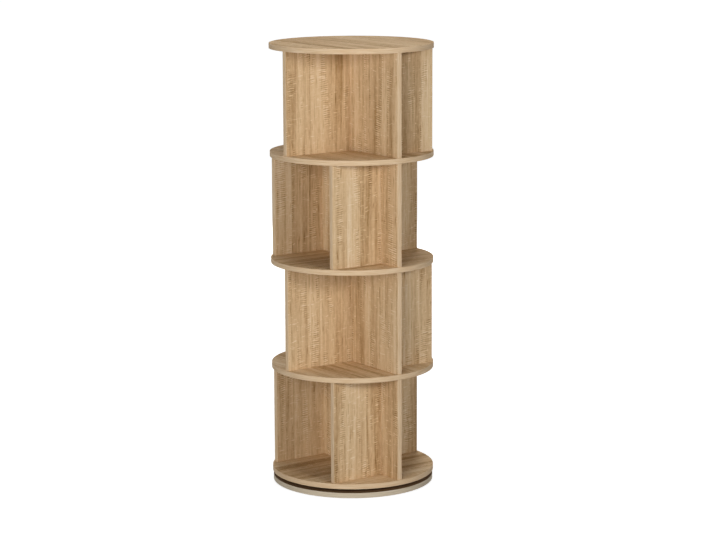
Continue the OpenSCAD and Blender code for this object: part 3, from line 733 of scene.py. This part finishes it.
# Edge bands on the uprights' outer ends, drawn to the same rounded strip
stripBand = {"thickness": 0.8, "corner": 0.6, "cornerSteps": 4}
stripPlaces = {"centre": [], "radial": [], "side": []}
for height, side in zip(tierHeights, tierSides):
    stripPlaces["centre"] += [(0, 0, height, 0, 0, 90), (0, 0, height, 0, 0, -90)]
    stripPlaces["radial"] += [(0, 0, height, 0, 0, 90 + 90 * side)]
    stripPlaces["side"] += [(0, hand * sideOffset, height, 0, 0, 90 - 90 * side) for hand in (1, -1)]
for kind, places in stripPlaces.items():
    end = uprightEnds[kind]
    inner = end - stripBand["thickness"]
    corner = stripBand["corner"]
    section = [(inner, -uprightHalf, 0), (end, -uprightHalf, corner),
               (end, uprightHalf, corner), (inner, uprightHalf, 0)]
    growPiece(f"rounded_{kind}_upright_edge_bands", drawnTree, section, places,
              {"Corner Steps": stripBand["cornerSteps"], "Length": clearHeight / 1000,
               "Material": bandMaterials["upright"]},
              "case", kind + "_upright_edge_bands")
print("upright edge bands grown:", sum(len(places) for places in stripPlaces.values()))

# Cam locks and dowels: how far each stands from its upright's end, or from the axis, in mm
fittingRule = {"camFromAxis": 100, "camFromEnd": 55, "camHeight": 24, "dowelFromEnd": 35}
fittings = {  # where that is along each kind of upright, in mm from the turning axis
    "Cam": {
        "centre": fittingRule["camFromAxis"],
        "radial": uprightEnds["radial"] - fittingRule["camFromEnd"],
        "side": uprightEnds["side"] - fittingRule["camFromEnd"],
    },
    "Dowel": {
        "centre": uprightEnds["centre"] - fittingRule["dowelFromEnd"],
        "radial": uprightHalf + fittingRule["dowelFromEnd"],
        "side": uprightHalf + fittingRule["dowelFromEnd"],
    },
}


def uprightPlaces(tier, kind):
    # (x, y) on each upright's mid-plane for the tier's fittings of one kind, centre uprights first
    values = fittings[kind]
    side = tierSides[tier]
    centre = [(0, -values["centre"]), (0, values["centre"])]
    outer = [(-side * values["radial"], 0)]
    outer += [(side * values["side"], hand * sideOffset) for hand in (-1, 1)]
    return centre, outer


def jointPlaces(kind):
    # where a fitting joins an upright to the board under it, or upside down to the board over it
    places = {"short": [], "long": []}
    for tier, height in enumerate(tierHeights):
        centre, outer = uprightPlaces(tier, kind)
        places["short"] += [(x, y, height, 0, 0, 0) for x, y in outer]
        places["short"] += [(x, y, height + clearHeight, 180, 0, 0) for x, y in outer]
        # on a shelf, one long fitting goes through to the centre upright below
        places["short" if tier == 0 else "long"] += [(x, y, height, 0, 0, 0) for x, y in centre]
        if tier == len(tierHeights) - 1:
            places["short"] += [(x, y, height + clearHeight, 180, 0, 0) for x, y in centre]
    return places


# Cover caps: moulded discs with a soft rim and a push-in peg, sizes in mm
coverCap = {"radius": 8.5, "thickness": 1, "rim": 0.65, "foot": 0.1, "peg": 1.8, "pegLength": 2,
            "pegTip": 0.4, "cornerSteps": 4, "segments": 40, "spindle": 2}
capPlaces = []
for tier, height in enumerate(tierHeights):
    centre, outer = uprightPlaces(tier, "Cam")
    for level in (height + fittingRule["camHeight"], height + clearHeight - fittingRule["camHeight"]):
        capPlaces += [(uprightHalf, y, level, 0, 90, 0) for x, y in centre]
        capPlaces += [(x, y + uprightHalf, level, -90, 0, 0) for x, y in outer]
growPiece("rounded_cam_cover_caps", turnedTree, [
    (0, coverCap["thickness"], 0), (coverCap["radius"], coverCap["thickness"], coverCap["rim"]),
    (coverCap["radius"], 0, coverCap["foot"]), (coverCap["peg"], 0, 0),
    (coverCap["peg"], -coverCap["pegLength"], coverCap["pegTip"]), (0, -coverCap["pegLength"], 0)],
    capPlaces, turnedSizes(coverCap, smallParts["oak-coloured ABS"]),
    "case", "cam_cover_caps")
print("cover caps grown:", len(capPlaces))

# Felt pads: pressed discs whose rim is crushed round and napped, sizes in mm
feltPad = {"radius": 15, "thickness": 2, "rim": 0.75, "circle": 190, "count": 6, "nap": 0.25,
           "cornerSteps": 5, "segments": 72, "spindle": 2}
padPlaces = []
for number in range(feltPad["count"]):
    angle = 2 * math.pi * number / feltPad["count"]
    padPlaces.append((feltPad["circle"] * math.cos(angle), feltPad["circle"] * math.sin(angle), 0, 0, 0, 0))
pads = growPiece("soft_felt_pads", turnedTree, [
    (0, feltPad["thickness"], 0), (feltPad["radius"], feltPad["thickness"], feltPad["rim"]),
    (feltPad["radius"], 0, feltPad["rim"]), (0, 0, 0)], padPlaces,
    turnedSizes(feltPad, smallParts["pressed wool felt"]) | {"Nap": feltPad["nap"] / 1000},
    "base", "felt_pads")
print("felt pads grown:", len(padPlaces))

# Dowels: beech rod with glue flutes pressed in along it, sizes in mm
# They reach up into the upright, and down into a board or through it into the upright below.
dowelRod = {"radius": 4, "ease": 1, "rounding": 0.3, "flutes": 12, "fluteDepth": 0.3, "fluteEnd": 0.1,
            "up": 19, "blind": 10.5, "through": 34, "cornerSteps": 2, "segments": 48, "spindle": 1}
dowelPlaces = jointPlaces("Dowel")
radius, ease, soft, past, up = [dowelRod[name] for name in ("radius", "ease", "rounding", "fluteEnd", "up")]
for kind, down in (("short", dowelRod["blind"]), ("long", dowelRod["through"])):
    growPiece(f"fluted_{kind}_dowels", turnedTree, [
        (0, up, 0), (radius - ease, up, soft), (radius, up - ease, soft),
        (radius, ease - down, soft), (radius - ease, -down, soft), (0, -down, 0)], dowelPlaces[kind],
        turnedSizes(dowelRod, smallParts["beech dowel rod"]) | {
            "Ribs Round": dowelRod["flutes"], "Rib Depth": dowelRod["fluteDepth"] / 1000,
            "Rib Low": (ease - down - past) / 1000, "Rib High": (up - ease + past) / 1000},
        "case", kind + "_dowels")
print("dowels grown:", len(dowelPlaces["short"]) + len(dowelPlaces["long"]))

# Cam bolts: a headed end that the cam lock pulls on, over a coarse wood thread or a second headed end
camBolt = {  # radii, heights over the board's face and roundings in mm
    "head": 3.2, "headLow": 21.8, "headHigh": 26.2, "headEase": 1, "headRounding": 0.3,
    "neck": 2, "neckRounding": 0.2, "sleeve": 3.9, "sleeveLength": 13, "sleeveRounding": 0.4,
    "thread": 2.5, "threadLength": 8.5, "threadTop": 0.2, "pitch": 1.8, "threadDepth": 0.5, "turnSteps": 6,
    "tip": 1.25, "tipEnd": 10.5, "tipRounding": 0.3, "shaft": 3.5, "board": 15,
    "cornerSteps": 3, "segments": 24, "spindle": 1,
}
upperEnd = [  # (radius, height, rounding), from the head down to the board's face
    (0, camBolt["headHigh"], 0),
    (camBolt["neck"], camBolt["headHigh"], camBolt["neckRounding"]),
    (camBolt["head"], camBolt["headHigh"] - camBolt["headEase"], camBolt["headRounding"]),
    (camBolt["head"], camBolt["headLow"] + camBolt["headEase"], camBolt["headRounding"]),
    (camBolt["neck"], camBolt["headLow"], camBolt["neckRounding"]),
    (camBolt["neck"], camBolt["sleeveLength"], 0),
    (camBolt["sleeve"], camBolt["sleeveLength"], camBolt["sleeveRounding"]),
    (camBolt["sleeve"], 0, 0),
]
boltPlaces = jointPlaces("Cam")
threadSteps = round(camBolt["turnSteps"] * camBolt["threadLength"] / camBolt["pitch"])
threadHeights = [-camBolt["threadLength"] * step / threadSteps for step in range(threadSteps + 1)]
boltSections = {
    "short": upperEnd + [(camBolt["thread"], height, 0) for height in threadHeights]
    + [(camBolt["tip"], -camBolt["tipEnd"], camBolt["tipRounding"]), (0, -camBolt["tipEnd"], 0)],
    "long": upperEnd + [(camBolt["shaft"], 0, 0), (camBolt["shaft"], -camBolt["board"], 0)]
    + [(across, -camBolt["board"] - height, corner) for across, height, corner in reversed(upperEnd)],
}
for kind, section in boltSections.items():
    threadDepth = camBolt["threadDepth"] / 1000 if kind == "short" else 0.0
    growPiece(f"threaded_{kind}_cam_bolts", turnedTree, section, boltPlaces[kind],
              turnedSizes(camBolt, smallParts["bright zinc-plated steel"]) | {
                  "Ribs Round": 1.0, "Ribs per Metre": 1000 / camBolt["pitch"], "Rib Depth": threadDepth,
                  "Rib Low": -camBolt["threadLength"] / 1000, "Rib High": -camBolt["threadTop"] / 1000},
              "case", kind + "_cam_bolts")
print("cam bolts grown:", len(boltPlaces["short"]) + len(boltPlaces["long"]))


# Floor and light
studio = {
    "floorColour": "#bcbcbc",
    "floorGlow": (0.8, 1.0),  # what the camera sees of the floor on top of its lit colour, near and far
    "glowReach": (0.6, 4.0),  # metres from the object, near and far
    "floorHalf": 25,  # metres
    "worldLight": 0.07,
    "lampTarget": 0.65,  # metres over the floor, where the lamps point
    "lamps": {  # watts, metres wide, metres high, metres away, degrees left of -Y, degrees up
        "left softbox": (122, 2.0, 2.0, 4.6, 54, 9),
        "right softbox": (70, 1.2, 0.8, 4.85, -3, 18.6),
        "top softbox": (12, 1.6, 1.6, 2.05, 35, 88),
        "back softbox": (150, 2.0, 2.0, 4.6, -145, 12),
    },
}


def findSeen(tree):
    # 1 for the rays of the camera, of reflections and of what is seen through glass
    path = addNode(tree, "ShaderNodeLightPath")
    seen = addNode(tree, "ShaderNodeMath", {"operation": "MAXIMUM"},
                   {0: path.outputs["Is Camera Ray"], 1: path.outputs["Is Glossy Ray"]})
    return addNode(tree, "ShaderNodeMath", {"operation": "MAXIMUM"},
                   {0: seen, 1: path.outputs["Is Transmission Ray"]})


def makeStudio(values):
    # the camera and reflections see a white surround, while everything else gets plain soft light
    world = bpy.data.worlds.new("studio")
    world.use_nodes = True
    tree = world.node_tree
    tree.nodes.clear()
    light = addNode(tree, "ShaderNodeBackground", {},
                    {"Color": (1, 1, 1, 1), "Strength": values["worldLight"]})
    white = addNode(tree, "ShaderNodeBackground", {}, {"Color": (1, 1, 1, 1), "Strength": 1.0})
    both = addNode(tree, "ShaderNodeMixShader", {}, {0: findSeen(tree), 1: light, 2: white})
    addNode(tree, "ShaderNodeOutputWorld", {}, {"Surface": both})
    bpy.context.scene.world = world

    # floor: matt pale paint, lifted to white for the camera so that only the object's shadow shows
    material, tree = startMaterial("pale matt floor")
    place = addNode(tree, "ShaderNodeTexCoord").outputs["Object"]
    away = addNode(tree, "ShaderNodeVectorMath", {"operation": "LENGTH"}, {0: place}).outputs["Value"]
    near, far = values["glowReach"]
    low, high = values["floorGlow"]
    strength = addNode(tree, "ShaderNodeMapRange", smoothStep,
                       {"Value": away, "From Min": near, "From Max": far, "To Min": low, "To Max": high})
    strength = addNode(tree, "ShaderNodeMath", multiply, {0: findSeen(tree), 1: strength})
    matt = addNode(tree, "ShaderNodeBsdfDiffuse", {}, {"Color": linear(values["floorColour"])})
    glow = addNode(tree, "ShaderNodeEmission", {}, {"Color": (1, 1, 1, 1), "Strength": strength})
    both = addNode(tree, "ShaderNodeAddShader", {}, {0: matt, 1: glow})
    addNode(tree, "ShaderNodeOutputMaterial", {}, {"Surface": both})
    half = values["floorHalf"]
    mesh = bpy.data.meshes.new("floor")
    corners = [(-half, -half, 0), (half, -half, 0), (half, half, 0), (-half, half, 0)]
    mesh.from_pydata(corners, [], [(0, 1, 2, 3)])
    mesh.materials.append(material)
    addObject("floor", mesh)

    for name, (power, width, height, distance, left, up) in values["lamps"].items():
        lamp = bpy.data.lights.new(name, "AREA")
        lamp.shape = "RECTANGLE"
        lamp.energy = power
        lamp.size = width
        lamp.size_y = height
        azimuth = math.radians(-left)
        elevation = math.radians(up)
        level = math.cos(elevation)
        back = Vector((math.sin(azimuth) * level, -math.cos(azimuth) * level, math.sin(elevation)))
        softbox = addObject(name, lamp)
        softbox.location = Vector((0, 0, values["lampTarget"])) + back * distance
        softbox.rotation_euler = back.to_track_quat("Z", "Y").to_euler()
        softbox.visible_glossy = False  # seen at a low angle it would lay a haze on the boards' tops


makeStudio(studio)
print("floor and light made")
